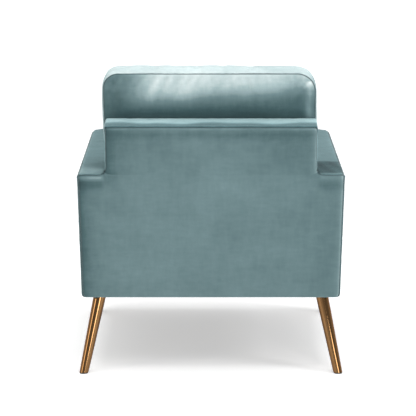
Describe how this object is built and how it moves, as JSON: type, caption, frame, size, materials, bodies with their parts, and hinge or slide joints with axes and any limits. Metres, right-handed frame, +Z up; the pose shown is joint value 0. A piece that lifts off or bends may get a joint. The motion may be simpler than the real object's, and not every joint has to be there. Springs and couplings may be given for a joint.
{
  "type": "upholstered armchair",
  "caption": "Box-shaped upholstered armchair with track arms, raked back, loose seat and back cushions, and splayed tapered metal legs.",
  "frame": {"origin": "on the floor under the middle of the bounding box", "axes": "+Z up, -Y the way the sitter faces, +Y the back, +X the sitter's left"},
  "size_m": [0.7364, 0.765, 0.8405],
  "materials": {
    "velvet": "short-pile velvet, satin sheen",
    "foam": "open-cell foam, matt",
    "wood": "sawn hardwood, unfinished",
    "lining": "non-woven lining cloth, matt",
    "board": "pressed fibre board, matt",
    "webbing": "woven elastic webbing, matt",
    "spring_steel": "drawn spring wire",
    "brass": "satin brushed",
    "nylon": "moulded nylon, matt",
    "zip_tape": "woven zip tape with coil teeth",
    "zip_metal": "nickel plated"
  },
  "bodies": {
    "chair_frame": {"back_band_cover": "velvet", "back_inside_cover": "velvet", "back_liner_board": "board", "back_lower_rail": "wood", "back_outside_cover": "velvet", "back_padding": "foam", "back_top_rail": "wood", "back_webbing_1": "webbing", "back_webbing_2": "webbing", "back_webbing_3": "webbing", "deck_cover": "lining", "deck_padding": "foam", "dust_cover": "lining", "front_border_cover": "velvet", "front_left_glide": "nylon", "front_left_leg": "brass", "front_left_leg_block": "wood", "front_rail_padding": "foam", "front_right_glide": "nylon", "front_right_leg": "brass", "front_right_leg_block": "wood", "front_seat_rail": "wood", "left_arm_band_cover": "velvet", "left_arm_front_post": "wood", "left_arm_inside_cover": "velvet", "left_arm_outside_cover": "velvet", "left_arm_padding": "foam", "left_arm_rear_post": "wood", "left_arm_top_rail": "wood", "left_back_post": "wood", "left_side_rail": "wood", "rear_left_glide": "nylon", "rear_left_leg": "brass", "rear_left_leg_block": "wood", "rear_right_glide": "nylon", "rear_right_leg": "brass", "rear_right_leg_block": "wood", "rear_seat_rail": "wood", "right_arm_band_cover": "velvet", "right_arm_front_post": "wood", "right_arm_inside_cover": "velvet", "right_arm_outside_cover": "velvet", "right_arm_padding": "foam", "right_arm_rear_post": "wood", "right_arm_top_rail": "wood", "right_back_post": "wood", "right_side_rail": "wood", "seat_spring_1": "spring_steel", "seat_spring_2": "spring_steel", "seat_spring_3": "spring_steel", "seat_spring_4": "spring_steel", "seat_spring_5": "spring_steel"},
    "seat_cushion": {"seat_cushion_core": "foam", "seat_cushion_cover": "velvet", "seat_cushion_zip": "zip_tape"},
    "back_cushion": {"back_cushion_core": "foam", "back_cushion_cover": "velvet", "back_cushion_zip": "zip_tape"},
    "seat_zip_slider": {"seat_zip_slider": "zip_metal"},
    "back_zip_slider": {"back_zip_slider": "zip_metal"}
  },
  "joints": [
    {"name": "seat_cushion_pull", "type": "slide", "parent": "chair_frame", "child": "seat_cushion", "axis": [0, -0.999, 0.0436], "range_m": [0, 0.65]},
    {"name": "back_cushion_lift", "type": "slide", "parent": "chair_frame", "child": "back_cushion", "axis": [0, 0.1167, 0.9932], "range_m": [0, 0.45]},
    {"name": "seat_zip_slide", "type": "slide", "parent": "seat_cushion", "child": "seat_zip_slider", "axis": [1, 0, 0], "range_m": [0, 0.452]},
    {"name": "back_zip_slide", "type": "slide", "parent": "back_cushion", "child": "back_zip_slider", "axis": [1, 0, 0], "range_m": [0, 0.452]}
  ]
}
